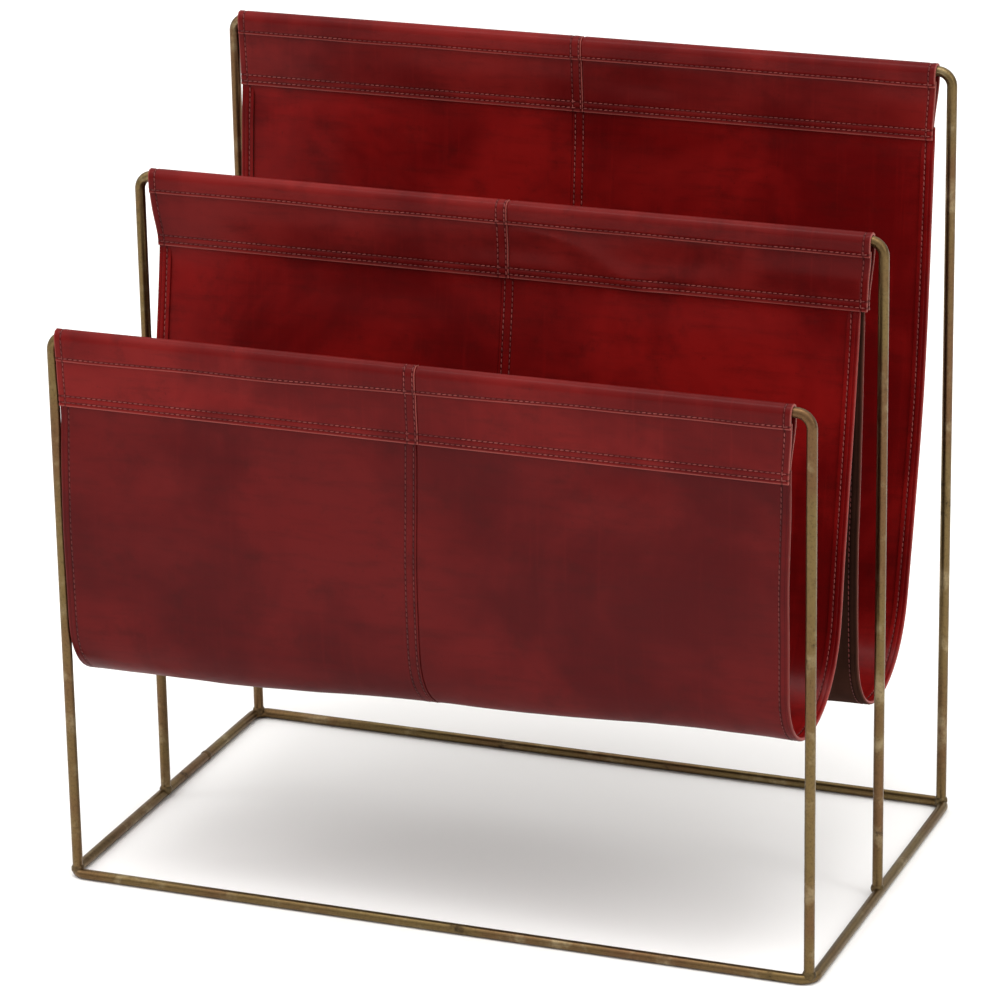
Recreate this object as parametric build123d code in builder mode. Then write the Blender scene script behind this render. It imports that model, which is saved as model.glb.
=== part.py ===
from build123d import *
import math
import os

# Magazine file holder: a brass-finished round-rod frame (one base ring with three hoops of
# rising height standing on it) and two leather slings hung from the hoops' top bars.
# Millimetres, +Z up, +X along the bars, -Y the low front hoop, floor at Z = 0,
# origin on the floor under the middle of the base ring.

# ---------------------------------------------------------------- driving dimensions
ROD = 6.35                      # diameter of the frame's round bar
HOOP_WIDTH = 474.0              # front and rear hoops, leg centre to leg centre
MIDDLE_HOOP_WIDTH = 477.0       # its feet stand on the side rails, which lie further out
HOOP_SPREAD = 276.0             # front hoop to rear hoop
MIDDLE_SETBACK = 132.0          # front hoop to middle hoop
FRONT_HEIGHT = 354.0            # floor to the top of each bar
MIDDLE_HEIGHT = 418.0
REAR_HEIGHT = 484.0
BEND = 9.0                      # centreline radius of every bend in the frame
RING_JOINT_Y = 58.0             # where the base ring's two ends are welded together
ROOT_GAP = 0.8                  # gap between those ends, filled by the weld
WELD_CROWN = 0.45               # how far that weld stands proud of the bar
WELD_LENGTH = 4.6
WELD_DRESSING = 0.1             # how far above the floor its underside is dressed off
FOOT_WELD_RADIUS = 4.1          # ball of weld round each hoop's foot

LEATHER = 1.4                   # one layer
SLIP = 0.3                      # play between a bar and the leather round it
SLEEVE_DEPTH = 48.0             # top of a sleeve to its lower seam
CAP_DROP = 14.0                 # top of a sleeve to the cap strip's lower edge
CAP_LAP = 3.0                   # how far the cap strip laps over the facing strip
SEAM_TUCK = 8.0                 # how far a sling's edge is tucked into the sleeve
FALL_BEND = 8.0                 # how gently a cap strip falls away from its bar
FRONT_BOTTOM = 134.7            # centre of the leather at the lowest line of each sling
REAR_BOTTOM = 113.0

# ---------------------------------------------------------------- derived dimensions
R = ROD / 2
CORNER_INSET = BEND * (1 - math.sqrt(0.5))      # a foot stands at the middle of a ring corner
RING_X = HOOP_WIDTH / 2 + CORNER_INSET
RING_Y = HOOP_SPREAD / 2 + CORNER_INSET
FRONT_Y = -HOOP_SPREAD / 2
MIDDLE_Y = FRONT_Y + MIDDLE_SETBACK
REAR_Y = HOOP_SPREAD / 2
FOOT_Z = 1.5 * R                # the coped foot reaches this far down the ring's flanks
FOOT_WELD_Z = ROD - 1.1         # centre of the ball of weld
INNER = R + SLIP                # inner radius of a sleeve over its bar
SEAM_BELOW_BAR = SLEEVE_DEPTH - INNER - LEATHER  # bar axis down to a sleeve's lower edge

# Each hoop: plane, width, height. Each sleeve: where it starts, ends and has its centre seam.
HOOPS = {
    "front": (FRONT_Y, HOOP_WIDTH, FRONT_HEIGHT),
    "middle": (MIDDLE_Y, MIDDLE_HOOP_WIDTH, MIDDLE_HEIGHT),
    "rear": (REAR_Y, HOOP_WIDTH, REAR_HEIGHT),
}
SLEEVES = {
    "front": (-233.4, -6.0, 226.4),
    "middle": (-231.0, 1.0, 231.8),
    "rear": (-233.0, -4.0, 228.0),
}
SLINGS = {
    "front": (-231.0, -3.0, 225.0),
    "rear": (-230.0, -1.5, 227.0),
}

os.makedirs("parts", exist_ok=True)


def save(name, part):
    part.label = name
    export_step(part, f"parts/{name}.step")


def bar_axis(tier):
    """Y and Z of the axis of a hoop's top bar."""
    y, _, height = HOOPS[tier]
    return y, height - R


# ---------------------------------------------------------------- frame
# The ring starts and ends at the joint in the left rail.
with BuildPart() as base_ring:
    with BuildLine(Plane.XY.offset(R)) as ring_path:
        FilletPolyline(
            (-RING_X, RING_JOINT_Y + ROOT_GAP / 2),
            (-RING_X, RING_Y),
            (RING_X, RING_Y),
            (RING_X, -RING_Y),
            (-RING_X, -RING_Y),
            (-RING_X, RING_JOINT_Y - ROOT_GAP / 2),
            radius=BEND,
        )
    with BuildSketch(Plane(origin=ring_path.line @ 0, z_dir=ring_path.line % 0)):
        Circle(R)
    sweep()
save("base_ring", base_ring.part)


def make_hoop(y, width, height):
    """An inverted U of bar whose feet are coped to sit on the ring."""
    with BuildPart() as hoop:
        with BuildLine(Plane.XZ.offset(-y)) as path:
            FilletPolyline(
                (-width / 2, FOOT_Z),
                (-width / 2, height - R),
                (width / 2, height - R),
                (width / 2, FOOT_Z),
                radius=BEND,
            )
        with BuildSketch(Plane(origin=path.line @ 0, z_dir=path.line % 0)):
            Circle(R)
        sweep()
        add(base_ring.part, mode=Mode.SUBTRACT)
    return hoop.part


hoops = {tier: make_hoop(*sizes) for tier, sizes in HOOPS.items()}
for tier, hoop in hoops.items():
    save(f"{tier}_hoop", hoop)

# One ball of weld round each foot, hollowed by the bars that it joins.
for tier, (y, width, _) in HOOPS.items():
    for side, x in (("left", -width / 2), ("right", width / 2)):
        with BuildPart() as foot_weld:
            with Locations((x, y, FOOT_WELD_Z)):
                Sphere(FOOT_WELD_RADIUS)
            add(base_ring.part, mode=Mode.SUBTRACT)
            add(hoops[tier], mode=Mode.SUBTRACT)
        save(f"{tier}_weld_{side}", foot_weld.part)

# The weld that closes the ring: a crowned bead with a web filling the root gap. Its
# underside is dressed off just above the floor, so that it doesn't lift the ring.
with BuildPart() as ring_weld:
    with BuildSketch(Plane.YZ.offset(-RING_X)):
        with BuildLine():
            crown = ThreePointArc(
                (RING_JOINT_Y - WELD_LENGTH / 2, ROD),
                (RING_JOINT_Y, ROD + WELD_CROWN),
                (RING_JOINT_Y + WELD_LENGTH / 2, ROD),
            )
            Polyline(
                crown @ 1,
                (RING_JOINT_Y + ROOT_GAP / 2, ROD),
                (RING_JOINT_Y + ROOT_GAP / 2, R),
                (RING_JOINT_Y - ROOT_GAP / 2, R),
                (RING_JOINT_Y - ROOT_GAP / 2, ROD),
                crown @ 0,
            )
        make_face()
    revolve(axis=Axis((-RING_X, RING_JOINT_Y, R), (0, 1, 0)))
    split(bisect_by=Plane.XY.offset(WELD_DRESSING))
save("ring_weld", ring_weld.part)


# ---------------------------------------------------------------- leather
def strip(x_from, x_to, path):
    """One layer of leather that follows a path drawn in (Y, Z)."""
    with BuildPart() as piece:
        with BuildSketch(Plane.YZ.offset(x_from)):
            trace(path, line_width=LEATHER)
        extrude(amount=x_to - x_from)
    return piece.part


def save_halves(name, ends, path):
    """Cut a strip in two at its centre seam and save both halves."""
    left, seam, right = ends
    save(f"{name}_left", strip(left, seam, path))
    save(f"{name}_right", strip(seam, right, path))


# Each sleeve is two strips. The cap strip goes over the bar, from the lap in front to the
# lower seam behind. The facing strip hangs in front, from under that lap to the lower seam.
# The lower seam holds the sling's edge between them, or both slings' edges on the middle bar.
for tier, ends in SLEEVES.items():
    y, z = bar_axis(tier)
    layers = 2 if tier == "middle" else 1
    seam_y = LEATHER * (layers + 1) / 2
    seam_z = z - SEAM_BELOW_BAR
    tuck_z = seam_z + SEAM_TUCK
    cap_y = INNER + LEATHER / 2
    cap_z = z + INNER + LEATHER - CAP_DROP
    facing_y = cap_y - LEATHER

    with BuildLine() as cap_path:
        drop = Line((y - cap_y, cap_z), (y - cap_y, z))
        over = ThreePointArc(drop @ 1, (y, z + cap_y), (y + cap_y, z))
        FilletPolyline(
            over @ 1,
            (y + cap_y, z - ROD),
            (y + seam_y, tuck_z),
            (y + seam_y, seam_z),
            radius=FALL_BEND,
        )
    with BuildLine() as facing_path:
        FilletPolyline(
            (y - facing_y, cap_z + CAP_LAP),
            (y - facing_y, cap_z - LEATHER),
            (y - seam_y, tuck_z),
            (y - seam_y, seam_z),
            radius=FALL_BEND / 4,
        )
    save_halves(f"{tier}_cap", ends, cap_path.line)
    save_halves(f"{tier}_facing", ends, facing_path.line)

# The slings hang as lopsided U shapes: straight down from the lower bar in front, and up
# along a leaning wall behind. Each ends in a tuck between the strips of its two sleeves.
front_seam_z = FRONT_HEIGHT - R - SEAM_BELOW_BAR
middle_seam_z = MIDDLE_HEIGHT - R - SEAM_BELOW_BAR
rear_seam_z = REAR_HEIGHT - R - SEAM_BELOW_BAR

with BuildLine() as front_path:
    FilletPolyline(
        (FRONT_Y, front_seam_z + SEAM_TUCK),
        (FRONT_Y, front_seam_z - 3),
        (FRONT_Y - 5, 236),
        (FRONT_Y - 2, FRONT_BOTTOM),
        (MIDDLE_Y - 42, FRONT_BOTTOM),
        (MIDDLE_Y - LEATHER / 2, middle_seam_z - 6),
        (MIDDLE_Y - LEATHER / 2, middle_seam_z + SEAM_TUCK),
        radius=(60, 150, 40, 60, 30),
    )
save_halves("front_sling", SLINGS["front"], front_path.line)

with BuildLine() as rear_path:
    FilletPolyline(
        (MIDDLE_Y + LEATHER / 2, middle_seam_z + SEAM_TUCK),
        (MIDDLE_Y + LEATHER / 2, middle_seam_z - 10),
        (MIDDLE_Y - 8, 226),
        (MIDDLE_Y - 6, REAR_BOTTOM),
        (REAR_Y - 58, REAR_BOTTOM),
        (REAR_Y - 14, 283),
        (REAR_Y, rear_seam_z - 5),
        (REAR_Y, rear_seam_z + SEAM_TUCK),
        radius=(60, 200, 42, 62, 250, 60),
    )
save_halves("rear_sling", SLINGS["rear"], rear_path.line)

for name, path in (("front_sling", front_path), ("rear_sling", rear_path)):
    print(name, "flat length", round(path.wires()[0].length, 1))
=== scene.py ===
# %% [markdown]
# # A magazine file holder in leather and brass
# The real object is a frame of thin brass bar with two leather slings hung from it. The
# frame is finished metalwork with exact sizes, so it arrives here ready made. This script
# gives the bars their aged finish, and makes the leather and its stitching.

# %% Load the frame
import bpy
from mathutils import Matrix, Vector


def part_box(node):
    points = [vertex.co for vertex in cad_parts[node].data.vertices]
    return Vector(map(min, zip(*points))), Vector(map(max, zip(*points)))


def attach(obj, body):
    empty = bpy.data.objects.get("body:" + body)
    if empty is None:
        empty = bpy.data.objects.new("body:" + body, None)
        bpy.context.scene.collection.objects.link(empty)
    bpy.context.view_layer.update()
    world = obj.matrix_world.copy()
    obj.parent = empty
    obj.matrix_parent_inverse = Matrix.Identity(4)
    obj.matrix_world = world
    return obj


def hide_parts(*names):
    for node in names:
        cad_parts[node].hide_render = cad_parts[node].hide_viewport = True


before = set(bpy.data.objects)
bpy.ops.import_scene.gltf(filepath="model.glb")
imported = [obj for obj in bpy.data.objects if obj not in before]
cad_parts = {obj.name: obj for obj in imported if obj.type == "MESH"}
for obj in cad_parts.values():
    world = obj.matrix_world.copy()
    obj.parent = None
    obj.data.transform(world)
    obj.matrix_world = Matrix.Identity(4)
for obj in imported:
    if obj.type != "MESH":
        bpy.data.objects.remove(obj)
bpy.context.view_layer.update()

import math
import random

import bmesh
import bpy
from mathutils import Matrix, Vector, noise

MM = 0.001  # every length below is in millimetres until a point is placed

# %% [markdown]
# ## Sizes
# Leather goods start from a cutting list. Bar positions and the ends of each sleeve are
# read from the frame, so that the leather always fits it. The other sizes are a
# leatherworker's own: thickness, hem, lap and stitch length.

# %% The cutting list
ROD = 6.35  # diameter of the bars
LEATHER = 1.4  # one layer
SLEEVE_DEPTH = 48.0  # top of a sleeve to its lower edge
SLEEVE_GAP = 0.3  # play between a bar and its sleeve
TUCK = 8.0  # how far a sling's edge is tucked into a sleeve
CAP_REACH = 22.0  # how far the cap strip's pattern reaches down in front, before trimming
FACING_TOP = 11.0  # the facing strip starts this far below the top of the sleeve
HEM_FOLD = 0.62  # radius of a turned hem, at the middle of the leather
HEM_FLAP = 7.0  # width of the flap that lies on the inside
HEM_ROW = 5.4  # stitches this far in from a hemmed end
HEM_CREASE = 2.4  # a line creased in beside the fold
PLAIN_ROW = 4.2  # stitches this far in from an end without a hem
SEAM_LAP = 4.0  # each half runs this far past the middle of the centre seam
SEAM_ROWS = (-2.6, 2.6)  # two rows, either side of the middle of the centre seam
LOWER_ROWS = (2.4, 6.4)  # rows above a sleeve's lower edge
CAP_ROW = 2.0  # row above the cap strip's edge in front
STITCH = 3.4  # from one needle hole to the next


def bar_centre(tier):
    """Y and Z of the middle of a hoop's top bar."""
    low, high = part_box(f"{tier}_hoop")
    return (low.y + high.y) / 2 / MM, high.z / MM - ROD / 2


def ends_of(name):
    """Left end, centre seam and right end of a pair of leather halves."""
    left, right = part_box(f"{name}_left"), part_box(f"{name}_right")
    return left[0].x / MM, left[1].x / MM, right[1].x / MM


TIERS = ("front", "middle", "rear")
BARS = {tier: bar_centre(tier) for tier in TIERS}
for tier in TIERS:
    print(tier, "bar at", [round(v, 2) for v in BARS[tier]], "sleeve", ends_of(f"{tier}_cap"))

# %% [markdown]
# ## Camera
# The holder is seen from its front right and a little above, with a long lens, so that
# its upright bars stay nearly parallel. The camera is placed on a sphere round a point in
# the middle of the holder and turned to look at it, with a very small lean.

# %% Camera
AZIMUTH, ELEVATION, LEAN = (math.radians(a) for a in (21.5, 19.38, -1.0))
DISTANCE = 2.9038
LOOK_AT = Vector((-0.00634, 0.0, 0.22654))

outward = Vector((
    math.sin(AZIMUTH) * math.cos(ELEVATION),
    -math.cos(AZIMUTH) * math.cos(ELEVATION),
    math.sin(ELEVATION),
))
level_right = Vector((0, 0, 1)).cross(outward).normalized()
level_up = outward.cross(level_right)
right = level_right * math.cos(LEAN) + level_up * math.sin(LEAN)
up = outward.cross(right)
lens = bpy.data.cameras.new("camera")
lens.lens = 170.7
lens.sensor_width = 36.0
camera = bpy.data.objects.new("camera", lens)
camera.matrix_world = Matrix.LocRotScale(
    LOOK_AT + outward * DISTANCE,
    Matrix((right, up, outward)).transposed().to_quaternion(),
    None,
)
bpy.context.scene.collection.objects.link(camera)
bpy.context.scene.camera = camera
print("camera at", [round(v, 3) for v in camera.location])

# %% [markdown]
# ## Floor
# A plain, pale, matt floor. It is one large face, so that its edges are never in view. A
# plain view transform keeps the reds as deep as they are painted.

# %% Floor
scene = bpy.context.scene
scene.view_settings.view_transform = "Standard"
scene.view_settings.look = "None"

floor_shape = bmesh.new()
bmesh.ops.create_grid(floor_shape, x_segments=1, y_segments=1, size=14)
floor_mesh = bpy.data.meshes.new("floor")
floor_shape.to_mesh(floor_mesh)
floor_shape.free()
floor = bpy.data.objects.new("floor", floor_mesh)
scene.collection.objects.link(floor)
floor_paint = bpy.data.materials.new("floor")
floor_paint.use_nodes = True
floor_shader = floor_paint.node_tree.nodes["Principled BSDF"]
floor_shader.inputs["Base Color"].default_value = (0.94, 0.935, 0.93, 1)
floor_shader.inputs["Roughness"].default_value = 0.9
floor_shader.inputs["Specular IOR Level"].default_value = 0.1
floor.data.materials.append(floor_paint)
print("floor:", [round(v, 1) for v in floor.dimensions])

# %% [markdown]
# ## The room
# Most of the light comes from the room itself, which is bright overhead and dim near the
# horizon, like a white studio with a lit ceiling. That shades the leather softly inside
# the pockets and stops upright leather from looking grey. Behind the holder the room is
# plain white.

# %% The room
RANGE = ("From Min", "From Max", "To Min", "To Max")  # the sockets of a Map Range node
HORIZON_LIGHT, CEILING_LIGHT = 0.36, 1.75

world = bpy.data.worlds.new("studio")
world.use_nodes = True
sky = world.node_tree
room = sky.nodes["Background"]
room.inputs["Color"].default_value = (1.0, 0.985, 0.965, 1)
backdrop = sky.nodes.new("ShaderNodeBackground")
backdrop.inputs["Color"].default_value = (1, 1, 1, 1)
height = sky.nodes.new("ShaderNodeSeparateXYZ")
brightness = sky.nodes.new("ShaderNodeMapRange")
for key, number in zip(RANGE, (0.0, 0.95, HORIZON_LIGHT, CEILING_LIGHT)):
    brightness.inputs[key].default_value = number
which = sky.nodes.new("ShaderNodeMixShader")
sky.links.new(sky.nodes.new("ShaderNodeTexCoord").outputs["Generated"], height.inputs[0])
sky.links.new(height.outputs["Z"], brightness.inputs["Value"])
sky.links.new(brightness.outputs["Result"], room.inputs["Strength"])
sky.links.new(sky.nodes.new("ShaderNodeLightPath").outputs["Is Camera Ray"], which.inputs["Fac"])
sky.links.new(room.outputs[0], which.inputs[1])
sky.links.new(backdrop.outputs[0], which.inputs[2])
sky.links.new(which.outputs[0], sky.nodes["World Output"].inputs["Surface"])
scene.world = world
print("room light from", HORIZON_LIGHT, "to", CEILING_LIGHT)

# %% [markdown]
# ## Soft boxes
# Product studios light leather with soft boxes: they draw long, gentle highlights along
# the rolled edges. A wide box hangs overhead, a tall one stands at the left, and a narrow
# one at the right picks out the bars. They are weak beside the room's light.

# %% Soft boxes
def soft_box(name, place, size, watts):
    """A rectangular soft box that faces the middle of the holder."""
    light = bpy.data.lights.new(name, "AREA")
    light.shape = "RECTANGLE"
    light.size, light.size_y = size
    light.energy = watts
    box = bpy.data.objects.new(name, light)
    box.location = place
    box.rotation_euler = (LOOK_AT - Vector(place)).to_track_quat("-Z", "Y").to_euler()
    scene.collection.objects.link(box)


soft_box("overhead_box", (0.1, -0.5, 2.7), (2.4, 0.8), 24)
soft_box("left_box", (-2.2, -1.0, 1.5), (0.8, 1.8), 9)
soft_box("right_box", (2.0, -0.7, 1.2), (0.5, 1.8), 7)

# %% [markdown]
# ## Small helpers for materials
# A finish is a little graph of nodes. These helpers add a node, join two sockets and mix
# two colours, so that each finish below reads as a recipe.

# %% Material helpers
def new_finish(name):
    """An empty material, its nodes, and its shader."""
    finish = bpy.data.materials.new(name)
    finish.use_nodes = True
    return finish, finish.node_tree, finish.node_tree.nodes["Principled BSDF"]


def add_node(tree, kind, **settings):
    """Adds a node and sets its properties."""
    node = tree.nodes.new(kind)
    for key, value in settings.items():
        setattr(node, key, value)
    return node


def cloud(tree, where, scale, detail=3.0, roughness=0.55, distortion=0.0):
    """A soft random pattern. Scale is how many clouds there are in a metre."""
    node = add_node(tree, "ShaderNodeTexNoise")
    tree.links.new(where, node.inputs["Vector"])
    node.inputs["Scale"].default_value = scale
    node.inputs["Detail"].default_value = detail
    node.inputs["Roughness"].default_value = roughness
    node.inputs["Distortion"].default_value = distortion
    return node.outputs["Fac"]


def between(tree, value, low, high, out_low=0.0, out_high=1.0):
    """Stretches the part of a pattern from low to high over a new range."""
    node = add_node(tree, "ShaderNodeMapRange", interpolation_type="SMOOTHSTEP")
    tree.links.new(value, node.inputs["Value"])
    for key, number in zip(RANGE, (low, high, out_low, out_high)):
        node.inputs[key].default_value = number
    return node.outputs["Result"]


def blend_colour(tree, share, first, second):
    """Mixes two colours, given as sockets or as numbers."""
    node = add_node(tree, "ShaderNodeMix", data_type="RGBA", blend_type="MIX")
    sockets = (node.inputs[0], node.inputs[6], node.inputs[7])
    for socket, value in zip(sockets, (share, first, second)):
        if isinstance(value, bpy.types.NodeSocket):
            tree.links.new(value, socket)
        elif isinstance(value, (int, float)):
            socket.default_value = value
        else:
            socket.default_value = (*value, 1)
    return node.outputs[2]


def sums(tree, operation, first, second):
    """Adds or multiplies two patterns, given as sockets or as numbers."""
    node = add_node(tree, "ShaderNodeMath", operation=operation)
    for socket, value in zip(node.inputs, (first, second)):
        if isinstance(value, bpy.types.NodeSocket):
            tree.links.new(value, socket)
        else:
            socket.default_value = value
    return node.outputs[0]


def stretched(tree, where, scale):
    """The same place, stretched, so that a pattern on it turns into streaks."""
    node = add_node(tree, "ShaderNodeMapping")
    tree.links.new(where, node.inputs["Vector"])
    node.inputs["Scale"].default_value = scale
    return node.outputs["Vector"]


def relief(tree, shader, layers):
    """Chains bumps on a shader. Each layer is a height, its strength and its depth in mm."""
    last = None
    for height, strength, depth in layers:
        bump = add_node(tree, "ShaderNodeBump")
        bump.inputs["Strength"].default_value = strength
        bump.inputs["Distance"].default_value = depth * MM
        tree.links.new(height, bump.inputs["Height"])
        if last:
            tree.links.new(last, bump.inputs["Normal"])
        last = bump.outputs["Normal"]
    tree.links.new(last, shader.inputs["Normal"])


# %% [markdown]
# ## Leather finish
# The hide is dyed a dark red by hand and then waxed. Dye soaks in unevenly, so the colour
# drifts over a hand's width, with darker clouds and small specks, and the wax is rubbed
# in strokes. Noise patterns of different sizes make those, and a cell pattern makes the
# grain. The strokes follow the flat cut, through its UV map, and the rest is laid through
# the whole piece. Two numbers are stored in the leather's own points: "seam" is high
# where stitches and creases press grooves into the leather, and it darkens them as painted
# shade, and "edge" is high at a cut or folded edge, where the dye has rubbed thin. The
# recipe is in three parts: colour, gloss and grain.

# %% Leather finish
def leather_patterns(tree):
    """The clouds, specks and strokes that the colour, gloss and grain all share."""
    where = add_node(tree, "ShaderNodeTexCoord").outputs["Object"]
    cut = add_node(tree, "ShaderNodeUVMap", uv_map="cut").outputs["UV"]
    return {
        "where": where,
        "wide": cloud(tree, where, 8, detail=4, roughness=0.6, distortion=0.5),
        "middle": cloud(tree, where, 46, detail=5, roughness=0.7),
        "specks": cloud(tree, where, 330, detail=3, roughness=0.7),
        "across": cloud(tree, stretched(tree, cut, (26, 150, 1)), 1, detail=5, roughness=0.65),
        "down": cloud(tree, stretched(tree, cut, (240, 9, 1)), 1, detail=4, roughness=0.6),
    }


def leather_colour(tree, patterns, deep, bright, dark, worn):
    """The dye: clouds of two reds, darkened in patches, and rubbed thin along edges."""
    colour = blend_colour(tree, between(tree, patterns["wide"], 0.38, 0.66), deep, bright)
    for name, low, high, share, tint in (
        ("middle", 0.50, 0.76, 0.42, dark),
        ("across", 0.45, 0.75, 0.35, dark),
        ("down", 0.52, 0.78, 0.30, bright),
        ("specks", 0.62, 0.76, 0.35, dark),
    ):
        colour = blend_colour(
            tree, between(tree, patterns[name], low, high, 0, share), colour, tint
        )
    edge = add_node(tree, "ShaderNodeAttribute", attribute_name="edge").outputs["Fac"]
    uneven = sums(tree, "ADD", edge, sums(tree, "MULTIPLY", patterns["middle"], 0.5))
    rubbed = between(tree, uneven, 0.55, 1.25)
    return blend_colour(tree, sums(tree, "MULTIPLY", rubbed, 0.5), colour, worn)


def make_leather_finish(name, deep, bright, dark, worn, gloss=(0.40, 0.52), suede=False):
    """A leather in four tints. Suede has no wax on it and a coarser grain."""
    finish, tree, shader = new_finish(name)
    patterns = leather_patterns(tree)
    seam = add_node(tree, "ShaderNodeAttribute", attribute_name="seam").outputs["Fac"]
    pressed = between(tree, seam, 0.15, 1.0, 0, 0.55)
    colour = leather_colour(tree, patterns, deep, bright, dark, worn)
    # painted shade: stitch grooves and creases are darkened towards a deep brown-red
    colour = blend_colour(tree, pressed, colour, tuple(0.22 * c for c in dark))
    tree.links.new(colour, shader.inputs["Base Color"])

    dull = sums(
        tree, "ADD",
        between(tree, patterns["middle"], 0.35, 0.7, *gloss),
        sums(tree, "MULTIPLY", pressed, 0.25),
    )
    tree.links.new(dull, shader.inputs["Roughness"])
    shader.inputs["Specular IOR Level"].default_value = 0.02
    if not suede:
        shader.inputs["Coat Weight"].default_value = 0.13
        shader.inputs["Coat Roughness"].default_value = 0.26

    grain = add_node(tree, "ShaderNodeTexVoronoi", feature="SMOOTH_F1")
    tree.links.new(patterns["where"], grain.inputs["Vector"])
    grain.inputs["Scale"].default_value = 620
    pores = cloud(tree, patterns["where"], 1900, detail=2)
    relief(tree, shader, [
        (between(tree, patterns["middle"], 0.3, 0.75), 0.25, 0.15),
        (patterns["across"], 0.3, 0.12),
        (grain.outputs["Distance"], 0.7 if suede else 0.35, 0.06),
        (pores, 0.8 if suede else 0.3, 0.03),
    ])
    return finish


# %% [markdown]
# ## The hides
# One hide, six looks. The sleeves are a middle red. The inside of a sling is a deeper,
# purer red, as painted light for the glow that bounces between a pocket's red walls, and
# the outside is darker. The flesh side is brown and unwaxed, and painted as dark as it
# looks in the shade between the slings. A cut edge is paler than the dyed face, and the
# slings' cut edges are painted dark, as painted shade for the shadow line along the lap
# of the long centre seams.

# %% The hides
RED_HIDE = make_leather_finish(
    "oxblood_leather",
    deep=(0.090, 0.0032, 0.0034), bright=(0.166, 0.0090, 0.0080), dark=(0.048, 0.0036, 0.0034),
    worn=(0.36, 0.095, 0.080),
)
# painted light: a deeper, purer red than the sleeves, for the glow bounced between a pocket's
# walls
INNER_HIDE_PAINTED_GLOW = make_leather_finish(
    "oxblood_leather_inside_painted_glow",
    deep=(0.088, 0.0013, 0.0016), bright=(0.178, 0.0042, 0.0038), dark=(0.044, 0.0018, 0.0018),
    worn=(0.36, 0.095, 0.080),
)
OUTER_HIDE = make_leather_finish(
    "oxblood_leather_outside",
    deep=(0.064, 0.0026, 0.0032), bright=(0.104, 0.0056, 0.0056), dark=(0.040, 0.0036, 0.0034),
    worn=(0.30, 0.085, 0.070),
)
# brown flesh side, painted as dark as the shade between the slings makes it look: painted shade
FLESH_SIDE_PAINTED_SHADE = make_leather_finish(
    "oxblood_flesh_side_painted_shade",
    deep=(0.024, 0.0090, 0.0056), bright=(0.038, 0.0140, 0.0094), dark=(0.013, 0.0058, 0.0042),
    worn=(0.19, 0.065, 0.048), gloss=(0.75, 0.9), suede=True,
)
CUT_EDGE = make_leather_finish(
    "leather_cut_edge",
    deep=(0.185, 0.036, 0.031), bright=(0.29, 0.078, 0.066), dark=(0.075, 0.012, 0.011),
    worn=(0.42, 0.15, 0.12), gloss=(0.55, 0.75),
)
# painted shade: the slings' cut edges are dark, for the shadow line along the centre seam's lap
SLING_EDGE_PAINTED_SHADE = make_leather_finish(
    "leather_edge_painted_shade",
    deep=(0.050, 0.0060, 0.0055), bright=(0.095, 0.016, 0.014), dark=(0.026, 0.0040, 0.0036),
    worn=(0.20, 0.055, 0.046), gloss=(0.55, 0.75),
)
for hide in (RED_HIDE, INNER_HIDE_PAINTED_GLOW, OUTER_HIDE, FLESH_SIDE_PAINTED_SHADE, CUT_EDGE, SLING_EDGE_PAINTED_SHADE):
    print("finish:", hide.name)

# %% [markdown]
# ## Thread finish
# Waxed thread, in a lighter red for the sleeves and the insides and a darker one for the
# outsides of the slings. Close up it is twisted, so a fine wave crosses it.

# %% Thread finish
def make_thread_finish(name, shaded, lit):
    """A thread that runs from one tint to the other along a row."""
    finish, tree, shader = new_finish(name)
    where = add_node(tree, "ShaderNodeTexCoord").outputs["Object"]
    uneven = between(tree, cloud(tree, where, 60, detail=3), 0.35, 0.65)
    tree.links.new(blend_colour(tree, uneven, shaded, lit), shader.inputs["Base Color"])
    shader.inputs["Roughness"].default_value = 0.6
    shader.inputs["Specular IOR Level"].default_value = 0.3
    twist = add_node(tree, "ShaderNodeTexWave", bands_direction="DIAGONAL")
    tree.links.new(where, twist.inputs["Vector"])
    twist.inputs["Scale"].default_value = 900
    relief(tree, shader, [(twist.outputs["Fac"], 0.5, 0.05)])
    return finish


LIGHT_THREAD = make_thread_finish("waxed_red_thread", (0.100, 0.009, 0.008), (0.23, 0.045, 0.038))
DARK_THREAD = make_thread_finish("dark_red_thread", (0.050, 0.006, 0.006), (0.14, 0.022, 0.019))
print("thread finishes:", LIGHT_THREAD.name, DARK_THREAD.name)

# %% [markdown]
# ## Aged brass finish
# The bars are plated in brass and then darkened, so the colour runs from olive to brown,
# with a few dark blotches, and the wear along the rails is pale. Metal shows its colour
# in its reflections, so the shader is fully metallic, and the patina only changes its
# tint and how sharply it reflects.

# %% Aged brass finish
def make_brass_finish(name, tints, rough, blotches):
    """Brass in four tints. Blotches says where on the spots' scale dark ones begin and end."""
    pale, olive, brown, dark = tints
    finish, tree, shader = new_finish(name)
    where = add_node(tree, "ShaderNodeTexCoord").outputs["Object"]
    wide = cloud(tree, where, 9, detail=3, roughness=0.6)
    patches = cloud(tree, where, 42, detail=4, roughness=0.65)
    spots = cloud(tree, where, 26, detail=6, roughness=0.75)
    fine = cloud(tree, where, 700, detail=3)
    colour = blend_colour(tree, between(tree, wide, 0.42, 0.62), olive, brown)
    colour = blend_colour(tree, between(tree, patches, 0.52, 0.72, 0, 0.7), colour, pale)
    colour = blend_colour(tree, between(tree, spots, *blotches, 0, 0.8), colour, dark)
    colour = blend_colour(tree, between(tree, fine, 0.45, 0.75, 0, 0.35), colour, dark)
    tree.links.new(colour, shader.inputs["Base Color"])
    shader.inputs["Metallic"].default_value = 1.0
    dull = between(tree, spots, 0.5, 0.75, rough, rough + 0.25)
    dull = sums(tree, "ADD", dull, sums(tree, "MULTIPLY", fine, 0.12))
    tree.links.new(dull, shader.inputs["Roughness"])
    relief(tree, shader, [(patches, 0.2, 0.12), (fine, 0.25, 0.03)])
    return finish


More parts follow.
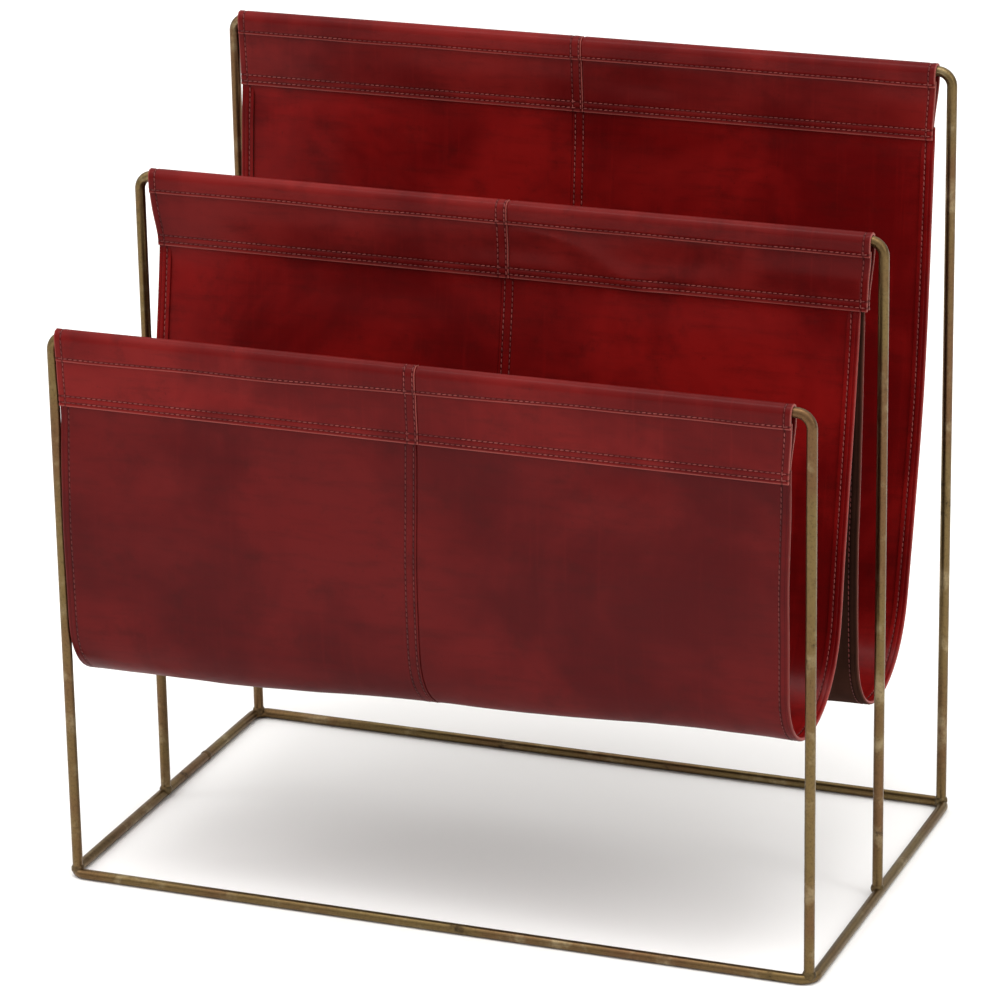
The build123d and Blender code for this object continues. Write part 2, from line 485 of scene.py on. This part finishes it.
BRASS = make_brass_finish(
    "aged_brass",
    ((0.30, 0.235, 0.135), (0.150, 0.102, 0.042), (0.135, 0.074, 0.035), (0.030, 0.019, 0.012)),
    0.30, (0.60, 0.70),
)
WELD = make_brass_finish(
    "dressed_weld",
    ((0.26, 0.21, 0.13), (0.12, 0.085, 0.038), (0.10, 0.056, 0.028), (0.028, 0.020, 0.014)),
    0.42, (0.50, 0.66),
)
for name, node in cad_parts.items():
    if name.endswith("_hoop") or name == "base_ring":
        node.material_slots[0].material = BRASS
    elif "weld" in name:
        node.material_slots[0].material = WELD
print("bars and welds finished")

# %% [markdown]
# ## Paths
# Every strip keeps one outline seen from the side, in (Y, Z), all the way across. A path
# is drawn as straight runs with rounded corners, divided into even steps, and then
# relaxed a little, because leather has no sudden change of curve.

# %% Paths
def rounded_corners(corners, radii):
    """Points along straight runs joined by arcs of the given radii."""
    corners = [Vector(c) for c in corners]
    points = [corners[0]]
    for before, corner, after, radius in zip(corners, corners[1:], corners[2:], radii):
        arrive, leave = (corner - before).normalized(), (after - corner).normalized()
        turn = math.atan2(arrive.x * leave.y - arrive.y * leave.x, arrive.dot(leave))
        tangent = radius * math.tan(abs(turn) / 2)
        side = math.copysign(1, turn)
        centre = corner - arrive * tangent + Vector((-arrive.y, arrive.x)) * radius * side
        start = corner - arrive * tangent - centre
        count = max(2, round(abs(turn) / math.radians(4)))
        for i in range(count + 1):
            a = turn * i / count
            points.append(centre + Vector((
                start.x * math.cos(a) - start.y * math.sin(a),
                start.x * math.sin(a) + start.y * math.cos(a),
            )))
    return points + [corners[-1]]


def even_steps(points, step):
    """The same line with a point every step or so."""
    lengths = [(b - a).length for a, b in zip(points, points[1:])]
    total = sum(lengths)
    count = max(4, round(total / step))
    even, travelled, i = [], 0.0, 0
    for k in range(count + 1):
        goal = total * k / count
        while i < len(lengths) - 1 and travelled + lengths[i] < goal:
            travelled += lengths[i]
            i += 1
        even.append(points[i].lerp(points[i + 1], (goal - travelled) / lengths[i]))
    return even


def relax(points, times):
    """Each point moves towards its neighbours' middle. The ends stay."""
    for _ in range(times):
        points = (
            [points[0]]
            + [(a + b * 2 + c) / 4 for a, b, c in zip(points, points[1:], points[2:])]
            + [points[-1]]
        )
    return points


class Path:
    """A line in (Y, Z) that gives the point and the outward direction at any length."""

    def __init__(self, points, outward_sign):
        self.points = points
        self.steps = [(b - a).length for a, b in zip(points, points[1:])]
        self.length = sum(self.steps)
        self.even = self.length / len(self.steps)
        self.sign = outward_sign

    def at(self, s):
        """The point at length s, and the outward direction there."""
        k = min(max(s / self.even, 0.0), len(self.steps) - 1e-6)
        i = int(k)
        point = self.points[i].lerp(self.points[i + 1], k - i)
        if s < 0 or s > self.length:  # a little past an end: straight on
            past = s if s < 0 else s - self.length
            point = point + (self.points[i + 1] - self.points[i]).normalized() * past
        this_step = self.points[i + 1] - self.points[i]
        last = i + 2 > len(self.steps)
        next_step = this_step if last else self.points[i + 2] - self.points[i + 1]
        along = this_step.lerp(next_step, k - i).normalized()
        return point, Vector((along.y, -along.x)) * self.sign


def smooth(low, high, value):
    """0 at low and 1 at high, with a soft start and end."""
    t = min(max((value - low) / (high - low), 0.0), 1.0)
    return t * t * (3 - 2 * t)


# %% [markdown]
# ## Sleeve paths
# A sleeve is two strips. The cap strip starts in front of the bar, goes over it and down
# behind. The facing strip hangs in front, its top under the cap's edge, and meets the cap
# again at the lower seam, with the edge of the sling between them. The middle sleeve
# holds the edges of both slings.

# %% Sleeve paths
SOFTENING = {"cap": (0.5, 6), "facing": (0.8, 4), "sling": (2.0, 14)}  # step, times relaxed
CAP_BEND, FACING_BEND = 8, 2  # radii of the bends below the bar
CAP_PRESS = 0.45  # the cap's front edge presses this far in, onto the facing
CAP_KNEE = (0.03, 14)  # above that: how far in, and how far below the sleeve's top
FACING_KNEE = 15.4  # the facing hangs straight down to here


def soft_path(kind, points, outward_sign):
    """A path with even steps, relaxed as that kind of strip needs."""
    step, times = SOFTENING[kind]
    return Path(relax(even_steps(points, step), times), outward_sign)


def sleeve_top(tier):
    """Height of the top of a tier's sleeve."""
    return BARS[tier][1] + ROD / 2 + SLEEVE_GAP + LEATHER


def lower_edge(tier):
    """Height of the lower edge of a tier's sleeve."""
    return sleeve_top(tier) - SLEEVE_DEPTH


def sleeve_paths(tier):
    """The paths of a tier's cap strip and of its facing strip."""
    y, z = BARS[tier]
    top, seam_z = sleeve_top(tier), lower_edge(tier)
    layers = 2 if tier == "middle" else 1  # edges of slings held in the seam
    seam_y = LEATHER * (layers + 1) / 2
    cap_y = ROD / 2 + SLEEVE_GAP + LEATHER / 2
    facing_y = cap_y - LEATHER
    over = [
        Vector((y - cap_y * math.cos(a), z + cap_y * math.sin(a)))
        for a in (math.pi * i / 40 for i in range(41))
    ]
    front = [
        Vector((y - cap_y + CAP_PRESS, top - CAP_REACH)),
        Vector((y - cap_y + CAP_KNEE[0], top - CAP_KNEE[1])),
    ]
    back = rounded_corners(
        [over[-1], (y + cap_y, z - ROD), (y + seam_y, seam_z + TUCK), (y + seam_y, seam_z)],
        (CAP_BEND, CAP_BEND),
    )
    facing = rounded_corners(
        [
            (y - facing_y, top - FACING_TOP),
            (y - facing_y, top - FACING_KNEE),
            (y - seam_y, seam_z + TUCK),
            (y - seam_y, seam_z),
        ],
        (FACING_BEND, FACING_BEND),
    )
    return soft_path("cap", front + over + back[1:], -1), soft_path("facing", facing, 1)


SLEEVE_PATHS = {tier: sleeve_paths(tier) for tier in TIERS}
for tier, (cap, facing) in SLEEVE_PATHS.items():
    print(tier, "cap strip", round(cap.length, 1), "facing strip", round(facing.length, 1))

# %% [markdown]
# ## Sling paths
# Each sling is a lopsided U. Its front wall drops almost straight, the bottom is a soft
# belly, and its back wall leans up to the next bar. The tucked ends are inside the
# sleeves. The corners are points in (Y, Z), and a list of the bends' radii follows them.

# %% Sling paths
FRONT_Y, MIDDLE_Y, REAR_Y = (BARS[tier][0] for tier in TIERS)
FRONT_BOTTOM, REAR_BOTTOM = 134.7, 113.0  # height of each sling's lowest line
FRONT_BULGE, REAR_BULGE = 236, 226  # height where each front wall stands out most
REAR_LEAN = 283  # height where the rear sling's back wall turns upright

front_line = rounded_corners(
    [
        (FRONT_Y, lower_edge("front") + TUCK),
        (FRONT_Y, lower_edge("front") - 3),
        (FRONT_Y - 5, FRONT_BULGE),
        (FRONT_Y - 2, FRONT_BOTTOM),
        (MIDDLE_Y - 42, FRONT_BOTTOM),
        (MIDDLE_Y - LEATHER / 2, lower_edge("middle") - 6),
        (MIDDLE_Y - LEATHER / 2, lower_edge("middle") + TUCK),
    ],
    (60, 150, 40, 60, 30),
)
rear_line = rounded_corners(
    [
        (MIDDLE_Y + LEATHER / 2, lower_edge("middle") + TUCK),
        (MIDDLE_Y + LEATHER / 2, lower_edge("middle") - 10),
        (MIDDLE_Y - 8, REAR_BULGE),
        (MIDDLE_Y - 6, REAR_BOTTOM),
        (REAR_Y - 58, REAR_BOTTOM),
        (REAR_Y - 14, REAR_LEAN),
        (REAR_Y, lower_edge("rear") - 5),
        (REAR_Y, lower_edge("rear") + TUCK),
    ],
    (60, 200, 42, 62, 250, 60),
)
SLING_PATHS = {
    "front": soft_path("sling", front_line, 1),
    "rear": soft_path("sling", rear_line, 1),
}
for name, path in SLING_PATHS.items():
    print(name, "sling", round(path.length, 1), "mm long")

# %% [markdown]
# ## How a strip takes its shape
# A strip is cut flat and then bent. It is thinned where it laps over another, so a lap is
# hardly thicker than one layer, and pulled in along each row of stitches. The class below
# holds one half of a strip: where it lies, how thick it is, and how pressed it is, at any
# point of the flat cut. The leather and its stitches both ask it for their place, so that
# they always agree.

# %% A half of a strip
LAP_LIFT = {"left": 0.42, "right": -0.36}  # the left half lies on top at the centre seam
LAP_THINNED, GROOVE_PRESSED = 0.42, 0.38  # share of the thickness that is lost there
GROOVE_WIDTH, CREASE_WIDTH = 0.8, 0.6
CREASE_SHALLOW = 0.55  # a crease is pressed less than a row of stitches


class Half:
    """One half of a strip: c runs across the holder, s runs along the strip's path."""

    def __init__(self, path, ends, side, seed, hem=False):
        self.path, self.side, self.seed, self.hem = path, side, seed, hem
        left, self.seam, right = ends
        self.edge = left if side == "left" else right
        self.inward = 1 if side == "left" else -1
        self.width = abs(self.edge - self.seam)
        self.rows = []  # lengths s of rows of stitches that cross the strip
        self.end_row = HEM_ROW if hem else PLAIN_ROW
        self.trim = lambda c: 0.0  # how far the start of the strip is cut back
        self.swell = lambda c, s: 0.0  # outward, in mm
        self.rise = lambda c, s: 0.0  # upward, in mm
        self.wander = lambda s: 0.0  # sideways shift of the centre seam
        self.reach = lambda s: 0.0  # how far the outer end is drawn in
        self.flat_near = (0.0, 0.0)  # how much of each end is held flat in a seam
        self.fade = 22.0  # how far beyond that the leather comes free

    def path_length(self, c, s):
        """Length on the path, once the strip's start has been trimmed."""
        return self.trim(c) + s * (1 - self.trim(c) / self.path.length)

    def in_from_edge(self, c):
        """How far c is from the outer end."""
        return (c - self.edge) * self.inward

    def past_seam(self, c):
        """Positive on the other half's side of the centre seam."""
        return (c - self.seam) * self.inward

    def lap(self, c):
        """1 where this half is lapped with the other one, 0 elsewhere."""
        return smooth(-SEAM_LAP - 1.8, -SEAM_LAP + 0.2, self.past_seam(c))

    def free(self, s):
        """0 where an end is held in a seam, 1 where the leather hangs free."""
        start, end = self.flat_near
        f = 1.0
        if start:
            f *= smooth(start, start + self.fade, s)
        if end:
            f *= smooth(end, end + self.fade, self.path.length - s)
        return f

    def lift(self, c, s):
        """How far the middle of the leather stands off its path, in waves and ripples."""
        wave = noise.noise(Vector((c / 85, s / 75, self.seed)))
        ripple = noise.noise(Vector((c / 24, s / 30, self.seed + 7)))
        off = (1.5 * wave + 0.25 * ripple) * self.free(s) + self.swell(c, s)
        return off + LAP_LIFT[self.side] * self.lap(c)

    def grooves(self, c, s):
        """How strongly stitches press here, from 0 to 1."""
        near = [abs(self.in_from_edge(c) - self.end_row) / GROOVE_WIDTH]
        near += [abs((c - self.seam) - row) / GROOVE_WIDTH for row in SEAM_ROWS]
        near += [abs(s - row) / GROOVE_WIDTH for row in self.rows]
        if self.hem:
            crease = abs(self.in_from_edge(c) - HEM_CREASE) / CREASE_WIDTH
            near.append(crease + CREASE_SHALLOW)
        return math.exp(-min(near) ** 2)

    def thickness(self, c, s):
        """Share of the leather's full thickness."""
        thin = 1.0 - LAP_THINNED * self.lap(c)
        return max(0.3, thin - GROOVE_PRESSED * self.grooves(c, s))

    def place(self, c, s, off=0.0):
        """The point at (c, s), moved off the surface."""
        point, out = self.path.at(self.path_length(c, s))
        point = point + out * (self.lift(c, s) + off)
        share = 1 - min(max(-self.past_seam(c), 0.0) / self.width, 1.0)
        x = c + self.wander(s) * share + self.inward * self.reach(s) * (1 - share) ** 2
        return Vector((x, point.x, point.y + self.rise(c, s))) * MM


print("thickness left in a lap:", 1 - LAP_THINNED, "in a groove:", 1 - GROOVE_PRESSED)

# %% [markdown]
# ## The flat cut
# A grid is the flat cut. Its rows and columns are crowded together where there is
# something small to show, such as a groove or a hem. On a hemmed piece the columns at the
# outer end roll round and lie on the inside, as a flap that is pressed thin.

# %% The flat cut
FOLD = HEM_FOLD * math.pi / 2  # half of the leather that goes round a hem's fold
FOLD_THINNED = 0.92  # share of the thickness that is left round the fold
FLAP_THICKNESS = (0.3, 0.5)  # share of it in a tucked flap, and what is added in a free one
RUBBED_WIDTH = {"fold": 0.9, "cut": 1.0, "lap": 0.8}  # how far in from an edge


def steps_between(start, end, coarse, fine_spots, fine=0.45, reach=2.2):
    """Positions from start to end, close together round the given spots."""
    places, here = [start], start
    while here < end - 1e-6:
        distance = min((abs(here - spot) for spot in fine_spots), default=1e9)
        step = fine + max(0.0, distance - reach) * 0.35
        ahead = [spot - reach - here for spot in fine_spots if spot - reach > here]
        step = min([step, coarse] + [max(fine, a * 0.8) for a in ahead])
        here = min(here + step, end)
        places.append(here)
    return places


def cut_lines(half, coarse):
    """The columns and rows of the grid, in mm from the outer end and from the start."""
    length = half.path.length
    spots = [0.0, half.end_row, half.width + SEAM_LAP]
    spots += [half.width + row for row in SEAM_ROWS]
    if half.hem:
        spots += [HEM_CREASE, -half.end_row, -HEM_FLAP]
    first = -(HEM_FLAP + FOLD) if half.hem else 0.0
    columns = steps_between(first, half.width + SEAM_LAP, coarse[0], spots)
    rows = steps_between(0.0, length, coarse[1], [0.0, length] + half.rows, fine=0.6)
    return columns, rows


def hem_place(half, w, s):
    """Off the surface, in from the fold, and share of the thickness, on a hemmed piece."""
    free = smooth(TUCK, TUCK + 9, min(s, half.path.length - s))
    radius = HEM_FOLD * (0.25 + 0.75 * free)  # pressed nearly flat inside a sleeve
    if w > FOLD:
        return 0.0, LEATHER / 2 + radius + w - FOLD, 1.0
    if w > -FOLD:
        turn = w / HEM_FOLD
        off = -radius * (1 - math.sin(turn))
        return off, LEATHER / 2 + radius * (1 - math.cos(turn)), FOLD_THINNED
    in_from_fold = LEATHER / 2 + radius - w - FOLD
    pressed = half.grooves(half.edge + half.inward * in_from_fold, s)
    least, more = FLAP_THICKNESS
    return -2 * radius + 0.12 * pressed, in_from_fold, least + more * free


def rubbed(half, w, s):
    """1 at a fold or an open cut edge, where dye rubs thin, and 0 elsewhere."""
    near = [w / RUBBED_WIDTH["fold"]]
    if not half.hem:
        near += [s / RUBBED_WIDTH["cut"], (half.path.length - s) / RUBBED_WIDTH["cut"]]
        if half.side == "left":
            near.append((half.width + SEAM_LAP - w) / RUBBED_WIDTH["lap"])
    return max(math.exp(-(n ** 2)) for n in near)


print("a hem uses", round(HEM_FLAP + 2 * FOLD, 1), "mm of leather")

# %% [markdown]
# ## Making a piece of leather
# The grid is marked with its flat measures, as a UV map, and each of its points is moved
# to its place. A Solidify modifier gives the leather its thickness, with the bare cut
# edge as a second material, and a small Bevel rounds that edge as rubbing does. The slots
# are the inside, the edge, the outside, and the outer side of a turned flap, which shows
# the inside's colour.

# %% Making leather
TURNED_FLAP = 1  # a flap starts in this slot, so Solidify gives its outer side the last one


def thicken(piece):
    """Thickness from the piece's own vertex group, and a rubbed edge."""
    thick = piece.modifiers.new("thickness", "SOLIDIFY")
    thick.thickness = LEATHER * MM
    thick.offset = 0
    thick.vertex_group = "thickness"
    thick.material_offset_rim = 1
    thick.material_offset = 2
    soft_edge = piece.modifiers.new("rubbed_edge", "BEVEL")
    soft_edge.width = 0.28 * MM
    soft_edge.segments = 2
    soft_edge.limit_method = "ANGLE"
    soft_edge.angle_limit = math.radians(50)


def make_leather(name, half, coarse, faces=(RED_HIDE, CUT_EDGE, RED_HIDE)):
    """Cuts, marks, bends and thickens one piece, and gives it with its flat size."""
    columns, rows = cut_lines(half, coarse)
    shape = bmesh.new()
    bmesh.ops.create_grid(
        shape, x_segments=len(columns) - 1, y_segments=len(rows) - 1, size=1
    )

    def flat_place(vert):
        i = round((vert.co.x + 1) / 2 * (len(columns) - 1))
        j = round((vert.co.y + 1) / 2 * (len(rows) - 1))
        return columns[i], rows[j]

    cut = shape.loops.layers.uv.new("cut")
    seam_mark = shape.verts.layers.float.new("seam")
    edge_mark = shape.verts.layers.float.new("edge")
    weight = shape.verts.layers.deform.new()
    for face in shape.faces:
        face.smooth = True
        for loop in face.loops:
            loop[cut].uv = [v * MM for v in flat_place(loop.vert)]
        if sum(loop[cut].uv.x for loop in face.loops) < 0:
            face.material_index = TURNED_FLAP
    for vert in shape.verts:
        w, s = flat_place(vert)
        off, in_from_edge, share = hem_place(half, w, s) if half.hem else (0.0, w, 1.0)
        c = half.edge + half.inward * in_from_edge
        vert.co = half.place(c, s, off)
        vert[weight][0] = half.thickness(c, s) * share
        vert[edge_mark] = rubbed(half, w, s)
        # groove strength, which the leather finish also darkens as painted shade
        vert[seam_mark] = half.grooves(c, s)
    if half.side == "right":
        bmesh.ops.reverse_faces(shape, faces=shape.faces)
    mesh = bpy.data.meshes.new(name)
    shape.to_mesh(mesh)
    shape.free()

    piece = bpy.data.objects.new(name, mesh)
    scene.collection.objects.link(piece)
    piece.vertex_groups.new(name="thickness")
    inside, raw_edge, outside = faces
    for finish in (inside, raw_edge, outside, inside):
        mesh.materials.append(finish)
    thicken(piece)
    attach(piece, "leather")
    flat = ((columns[-1] - columns[0]) * MM, half.path.length * MM)
    print(name, len(mesh.polygons), "faces, flat", [round(f, 4) for f in flat])
    return piece, flat


# %% [markdown]
# ## Stitching
# Saddle stitch: short, plump threads in a row, each ending in a needle hole. One stitch
# is a small stretched ball with few faces, because there are thousands. It is turned a
# few degrees from the row, as hand stitching is, and sunk a little into its groove. They
# are made a few at a time in a small bmesh and moved to the large one, because an
# operator takes longer the more is already there.

# %% Stitching
THREAD_SIZE = (0.36, 0.30, 1.36)  # half of a stitch's width, height and length
BATCH = 20
THREAD_STANDS = 0.10  # the middle of a stitch stands this far off the leather


class Stitching:
    """Collects the stitches of one piece of thread work."""

    def __init__(self, name, seed, thread=LIGHT_THREAD):
        self.name, self.thread = name, thread
        self.shape, self.batch = bmesh.new(), bmesh.new()
        self.count, self.chance = 0, random.Random(seed)

    def stitch(self, start, end, out):
        """One stitch between two needle holes."""
        along = end - start
        across = out.cross(along).normalized()
        lean = self.chance.uniform(0.03, 0.12)
        along = (along.normalized() + across * lean).normalized()
        across = out.cross(along).normalized()
        above = along.cross(across)
        size = self.chance.uniform(0.92, 1.06)
        wide, high, long = THREAD_SIZE
        basis = Matrix((
            across * wide * MM * size, above * high * MM, along * long * MM * size
        )).transposed()
        bmesh.ops.create_uvsphere(
            self.batch, u_segments=6, v_segments=4, radius=1,
            matrix=Matrix.Translation((start + end) / 2) @ basis.to_4x4(),
        )
        self.count += 1
        if self.count % BATCH == 0:
            self.gather()

    def gather(self):
        """Moves the batch to the large bmesh."""
        mesh = bpy.data.meshes.new("batch")
        self.batch.to_mesh(mesh)
        self.shape.from_mesh(mesh)
        self.batch.clear()
        bpy.data.meshes.remove(mesh)

    def row(self, place, start, end, out_sign=1):
        """A row of stitches. place(t, off) gives a point; t is in mm along the row."""
        count = max(1, round(abs(end - start) / STITCH))
        for i in range(count):
            a = start + (end - start) * i / count
            b = start + (end - start) * (i + 1) / count
            low, high = place((a + b) / 2, 0.0), place((a + b) / 2, out_sign)
            self.stitch(place(a, 0.0), place(b, 0.0), (high - low).normalized())

    def finish(self):
        """Makes one object of all the stitches."""
        self.gather()
        for face in self.shape.faces:
            face.smooth = True
        mesh = bpy.data.meshes.new(self.name)
        self.shape.to_mesh(mesh)
        self.shape.free()
        mesh.materials.append(self.thread)
        piece = bpy.data.objects.new(self.name, mesh)
        scene.collection.objects.link(piece)
        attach(piece, "leather")
        print(self.name, self.count, "stitches")


def surface_row(half, c=None, s=None, face=1):
    """place(t, off) for a row that runs along the strip at c, or across it at s."""

    def place(t, off):
        cc, ss = (c, t) if s is None else (t, s)
        skin = half.thickness(cc, ss) * LEATHER / 2 + THREAD_STANDS
        return half.place(cc, ss, face * skin + off)

    return place


# %% [markdown]
# ## Shapes of the sleeves
# The cap's front edge is cut by eye, so it wanders by a millimetre or two, and on the
# front sleeve it hangs lower at the left. A cap lies tight round its bar. A facing strip
# is drawn in at its ends by the weight of the sling, most of all at the left of the
# middle one, which also has a soft fold that slants down beside its centre seam.

# %% Shapes of the sleeves
CAP_DROP = 14.2  # top of a sleeve to its cap strip's edge in front
FRONT_CAP_DROP, FRONT_CAP_TILT = 16.6, 2.6  # and on the front sleeve, with its tilt
HELD_ALL_OVER = (200, 200)  # longer than any sleeve strip, so none of it hangs free
FACING_HELD, FACING_FADE = (5.0, 8.5), 11.0
FACING_TOP_DRAWN_IN, FACING_FOOT_DRAWN_IN = 0.3, 2.5
FACING_DRAWN_IN = {("front", "left"): 0.1, ("middle", "left"): 4.6, ("rear", "left"): 0.4}


def cap_drop(tier, c):
    """How far below the top of a sleeve its cap strip ends in front."""
    wander = 0.7 * noise.noise(Vector((c / 60, 3.1, TIERS.index(tier))))
    if tier == "front":
        return FRONT_CAP_DROP - FRONT_CAP_TILT * math.tanh(c / 140) + wander
    return CAP_DROP + wander


def slanting_fold(c, s):
    """A swelling that runs slantwise down the facing, to the right of the centre seam."""
    beside = (c - 22 - 1.9 * s) / 13
    return 1.3 * math.exp(-beside ** 2) * smooth(2, 9, s)


def cap_half(tier, side, seed):
    """Half of a cap strip, with its end drawn in behind and, less, at the front edge."""
    path, _ = SLEEVE_PATHS[tier]
    cap = Half(path, ends_of(f"{tier}_cap"), side, seed)
    cap.trim = lambda c: CAP_REACH - cap_drop(tier, c)
    cap.rows = [CAP_ROW] + [path.length - row for row in LOWER_ROWS]
    cap.flat_near = HELD_ALL_OVER
    cap.reach = lambda s: (
        2.5 * smooth(0, path.length * 0.55, s - path.length * 0.4)
        + 0.6 * smooth(CAP_REACH, 4, s)
    )
    return cap


def facing_half(tier, side, seed):
    """Half of a facing strip, with its end drawn in more and more towards its foot."""
    _, path = SLEEVE_PATHS[tier]
    facing = Half(path, ends_of(f"{tier}_facing"), side, seed)
    facing.rows = [path.length - row for row in LOWER_ROWS]
    facing.flat_near, facing.fade = FACING_HELD, FACING_FADE
    top, foot = FACING_TOP_DRAWN_IN, FACING_DRAWN_IN.get((tier, side), FACING_FOOT_DRAWN_IN)
    facing.reach = lambda s: top + (foot - top) * smooth(0, path.length, s)
    if (tier, side) == ("middle", "right"):
        facing.swell = slanting_fold
    return facing


print("cap edges at the left end:", [round(cap_drop(tier, -230), 1) for tier in TIERS])

# %% [markdown]
# ## The sleeves
# Each sleeve gets its cap strip, its facing strip and its thread. Rows of stitches run
# along the cap's front edge and along the lower seam, a column closes each end, and two
# more columns hold the centre seam, where the left half laps over the right half.

# %% The sleeves
CAP_SEED, FACING_SEED, SLEEVE_THREAD_SEED = 2, 5, 11  # the front one's; the others follow
SLEEVE_COARSE = (6, 3)  # widest steps of the grid, across and along
ROW_STARTS, ROW_STOPS = 1.2, 0.5  # in from the outer end, and short of the centre seam
CAP_COLUMN_STARTS, FACING_COLUMN_STARTS, COLUMN_STOPS = 1.0, 5.0, 1.5


def stitch_sleeve_half(thread, cap, facing):
    """The rows across both strips of one half, and its columns along them."""
    row_ends = sorted((cap.edge + cap.inward * ROW_STARTS, cap.seam - cap.inward * ROW_STOPS))
    for half in (cap, facing):
        for row in half.rows:
            thread.row(surface_row(half, s=row), *row_ends)
    columns = [(cap.edge + cap.inward * cap.end_row,) * 2]
    if cap.side == "left":
        columns += [(cap.seam + row, facing.seam + row) for row in SEAM_ROWS]
    for at_cap, at_facing in columns:
        for half, c, start in (
            (cap, at_cap, CAP_COLUMN_STARTS), (facing, at_facing, FACING_COLUMN_STARTS)
        ):
            thread.row(surface_row(half, c=c), start, half.path.length - COLUMN_STOPS)


leather_pieces = {}
for number, tier in enumerate(TIERS):
    thread = Stitching(f"{tier}_sleeve_thread", SLEEVE_THREAD_SEED + number)
    for side in ("left", "right"):
        cap = cap_half(tier, side, CAP_SEED + number)
        facing = facing_half(tier, side, FACING_SEED + number)
        for kind, half in (("cap", cap), ("facing", facing)):
            leather_pieces[tier, kind, side] = make_leather(
                f"{tier}_{kind}_strip_{side}", half, SLEEVE_COARSE
            )
        stitch_sleeve_half(thread, cap, facing)
    thread.finish()

# %% [markdown]
# ## The slings
# The slings are the same work on a larger scale, with a hem turned to the inside along
# both ends. Leather this size never hangs quite true: the front sling's belly is lower at
# the left, and its centre seam drifts to the right on its way from front to back. Their
# left ends are also drawn in by different amounts in front and behind. The rear sling is
# used with its smooth side in, so outside it shows its brown flesh side, painted dark as
# painted shade.

# %% The slings
SLING_SEED, SLING_SEED_STEP = 9, 3
OUTSIDE_THREAD_SEED, INSIDE_THREAD_SEED = 31, 41
SLING_COARSE = (5, 5)
SLING_OUTSIDE = {"front": OUTER_HIDE, "rear": FLESH_SIDE_PAINTED_SHADE}
SEAM_DRIFT = {"front": (-4.6, 7.8), "rear": (1.5, -1.3)}  # in front and behind
EDGE_DRAWN_IN = {"front": (-2.3, 4.6), "rear": (3.6, -2.6)}  # left ends, likewise
BELLY_TILT = 7.2  # makes the front sling's belly lower at the left
STITCHES_CLEAR = 1.5  # columns of stitches stop this far from a sleeve
HEM_SHIFT = LEATHER / 2 + HEM_FOLD * (1 - math.pi / 2)  # the fold draws the end in by this
FLAP_SKIN = LEATHER * 0.3 + 2 * HEM_FOLD  # the flap's face, from the sling's middle


def sling_half(name, side, seed):
    """Half of a sling, with all the ways in which it hangs untrue."""
    path = SLING_PATHS[name]
    half = Half(path, ends_of(f"{name}_sling"), side, seed, hem=True)
    half.flat_near = (TUCK + 1, TUCK + 1)
    front, back = SEAM_DRIFT[name]
    half.wander = lambda s: front + (back - front) * smooth(0.25, 0.75, s / path.length)
    if side == "left":
        before, behind = EDGE_DRAWN_IN[name]
        half.reach = lambda s: (
            before + (behind - before) * smooth(0.35, 0.7, s / path.length)
        )
    if name == "front":
        half.rise = lambda c, s: (
            BELLY_TILT * math.sin(c / 230)
            * smooth(0, 150, s) * smooth(0, 210, path.length - s)
        )
    return half


def stitch_sling_half(outside, inside, half):
    """The hem's column and the centre seam's, each shown on both faces of the sling."""
    ends = TUCK + STITCHES_CLEAR, half.path.length - TUCK - STITCHES_CLEAR
    hem = half.edge + half.inward * (HEM_SHIFT + half.end_row)
    outside.row(surface_row(half, c=hem), *ends)
    inside.row(lambda t, off: half.place(hem, t, off - FLAP_SKIN), *ends, -1)
    for row in SEAM_ROWS:
        if half.side == "left":
            outside.row(surface_row(half, c=half.seam + row), *ends)
        else:
            inside.row(surface_row(half, c=half.seam + row, face=-1), *ends, -1)


for number, name in enumerate(SLING_PATHS):
    outside = Stitching(f"{name}_sling_thread_outside", OUTSIDE_THREAD_SEED + number, DARK_THREAD)
    inside = Stitching(f"{name}_sling_thread_inside", INSIDE_THREAD_SEED + number)
    for side in ("left", "right"):
        half = sling_half(name, side, SLING_SEED + SLING_SEED_STEP * number)
        # the inside carries painted light; the edges and the rear sling's flesh side carry
        # painted shade
        leather_pieces[name, "sling", side] = make_leather(
            f"{name}_sling_leather_{side}", half, SLING_COARSE,
            faces=(INNER_HIDE_PAINTED_GLOW, SLING_EDGE_PAINTED_SHADE, SLING_OUTSIDE[name]),
        )
        stitch_sling_half(outside, inside, half)
    outside.finish()
    inside.finish()

# %% [markdown]
# ## Standing in for the plain solids
# The exact model holds one plain solid for each half of each strip, which the physics
# uses. Each finished piece takes its solid's place, and the solid is hidden.

for (name, kind, side), (piece, flat) in leather_pieces.items():
    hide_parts(f"{name}_{kind}_{side}")
    if kind == "sling":
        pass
    elif kind == "cap":
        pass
    else:
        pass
print("sheets declared:", len(leather_pieces))
